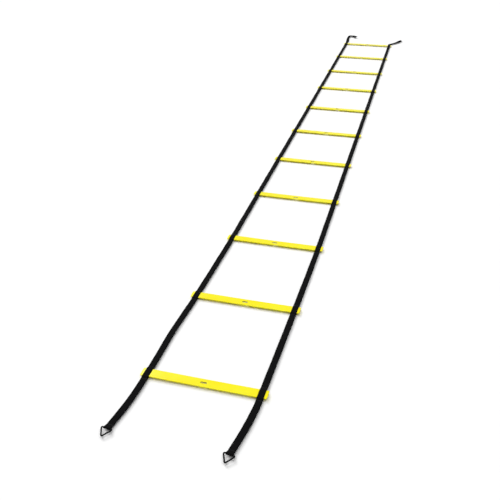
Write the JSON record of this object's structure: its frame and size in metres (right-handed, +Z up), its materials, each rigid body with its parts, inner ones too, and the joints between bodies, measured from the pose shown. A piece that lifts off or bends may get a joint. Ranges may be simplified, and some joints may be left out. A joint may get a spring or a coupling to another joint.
{
  "type": "agility ladder",
  "caption": "Flat training ladder: plastic rungs held between two webbing straps, triangular rings at one end and free tails at the other; folds up bay by bay.",
  "frame": {"origin": "middle of the floor that the laid-out ladder's box covers, at floor level", "axes": "+X along the rungs to the right, +Y along the ladder from the ring end to the free-tail end, +Z up"},
  "size_m": [0.6034, 5.657, 0.0141],
  "materials": {
    "rung": "moulded polypropylene, satin",
    "webbing": "woven polypropylene webbing, matt",
    "thread": "polyester sewing thread",
    "ring": "black coated steel wire"
  },
  "bodies": {
    "section_01": {"rung_01": "rung", "left_webbing_01": "webbing", "right_webbing_01": "webbing"},
    "section_02": {"rung_02": "rung", "left_webbing_02": "webbing", "right_webbing_02": "webbing"},
    "section_03": {"rung_03": "rung", "left_webbing_03": "webbing", "right_webbing_03": "webbing"},
    "section_04": {"rung_04": "rung", "left_webbing_04": "webbing", "right_webbing_04": "webbing"},
    "section_05": {"rung_05": "rung", "left_webbing_05": "webbing", "right_webbing_05": "webbing"},
    "section_06": {"rung_06": "rung", "left_webbing_06": "webbing", "right_webbing_06": "webbing"},
    "section_07": {"rung_07": "rung", "left_webbing_07": "webbing", "right_webbing_07": "webbing"},
    "section_08": {"rung_08": "rung", "left_webbing_08": "webbing", "right_webbing_08": "webbing"},
    "section_09": {"rung_09": "rung", "left_webbing_09": "webbing", "right_webbing_09": "webbing"},
    "section_10": {"rung_10": "rung", "left_webbing_10": "webbing", "right_webbing_10": "webbing"},
    "section_11": {"rung_11": "rung", "left_webbing_11": "webbing", "right_webbing_11": "webbing"},
    "left_near_tail": {"left_near_tail": "webbing", "left_near_tack": "thread"},
    "left_ring": {"left_ring": "ring"},
    "left_far_tail": {"left_far_tail": "webbing", "left_far_tack": "thread"},
    "right_near_tail": {"right_near_tail": "webbing", "right_near_tack": "thread"},
    "right_ring": {"right_ring": "ring"},
    "right_far_tail": {"right_far_tail": "webbing", "right_far_tack": "thread"}
  },
  "joints": [
    {"name": "fold_01", "type": "hinge", "parent": "section_02", "child": "section_01", "pos_m": [-0.03906, -2.26436, 0.0069], "axis": [-1, 0, 0], "range_deg": [0, 180]},
    {"name": "fold_02", "type": "hinge", "parent": "section_03", "child": "section_02", "pos_m": [-0.02942, -1.76436, -0.0005], "axis": [1, 0, 0], "range_deg": [0, 180]},
    {"name": "fold_03", "type": "hinge", "parent": "section_04", "child": "section_03", "pos_m": [-0.02615, -1.26436, 0.0069], "axis": [-1, 0, 0], "range_deg": [0, 180]},
    {"name": "fold_04", "type": "hinge", "parent": "section_05", "child": "section_04", "pos_m": [-0.02615, -0.76436, -0.0005], "axis": [1, 0, 0], "range_deg": [0, 180]},
    {"name": "fold_05", "type": "hinge", "parent": "section_06", "child": "section_05", "pos_m": [-0.02615, -0.26436, 0.0069], "axis": [-1, 0, 0], "range_deg": [0, 180]},
    {"name": "fold_06", "type": "hinge", "parent": "section_06", "child": "section_07", "pos_m": [-0.02615, 0.23564, -0.0005], "axis": [-1, 0, 0], "range_deg": [0, 180]},
    {"name": "fold_07", "type": "hinge", "parent": "section_07", "child": "section_08", "pos_m": [-0.02615, 0.73564, 0.0069], "axis": [1, 0, 0], "range_deg": [0, 180]},
    {"name": "fold_08", "type": "hinge", "parent": "section_08", "child": "section_09", "pos_m": [-0.02615, 1.23564, -0.0005], "axis": [-1, 0, 0], "range_deg": [0, 180]},
    {"name": "fold_09", "type": "hinge", "parent": "section_09", "child": "section_10", "pos_m": [-0.02615, 1.73564, 0.0069], "axis": [1, 0, 0], "range_deg": [0, 180]},
    {"name": "fold_10", "type": "hinge", "parent": "section_10", "child": "section_11", "pos_m": [-0.02615, 2.23564, -0.0005], "axis": [-1, 0, 0], "range_deg": [0, 180]},
    {"name": "left_near_tail_bend", "type": "hinge", "parent": "section_01", "child": "left_near_tail", "pos_m": [-0.2577, -2.55986, 0.0069], "axis": [1, 0, 0], "range_deg": [-180, 0]},
    {"name": "left_ring_swing", "type": "hinge", "parent": "left_near_tail", "child": "left_ring", "pos_m": [-0.2805, -2.79336, 0.0042], "axis": [-0.9934, 0.1146, 0], "range_deg": [-135, 135]},
    {"name": "left_far_tail_bend", "type": "hinge", "parent": "section_11", "child": "left_far_tail", "pos_m": [-0.23815, 2.53114, 0.0085], "axis": [-1, 0, 0], "range_deg": [-180, 0]},
    {"name": "right_near_tail_bend", "type": "hinge", "parent": "section_01", "child": "right_near_tail", "pos_m": [0.1663, -2.55986, 0.0069], "axis": [1, 0, 0], "range_deg": [-180, 0]},
    {"name": "right_ring_swing", "type": "hinge", "parent": "right_near_tail", "child": "right_ring", "pos_m": [0.1356, -2.79336, 0.0042], "axis": [-0.9902, 0.1394, 0], "range_deg": [-135, 135]},
    {"name": "right_far_tail_bend", "type": "hinge", "parent": "section_11", "child": "right_far_tail", "pos_m": [0.18585, 2.53114, 0.0085], "axis": [-1, 0, 0], "range_deg": [-180, 0]}
  ]
}
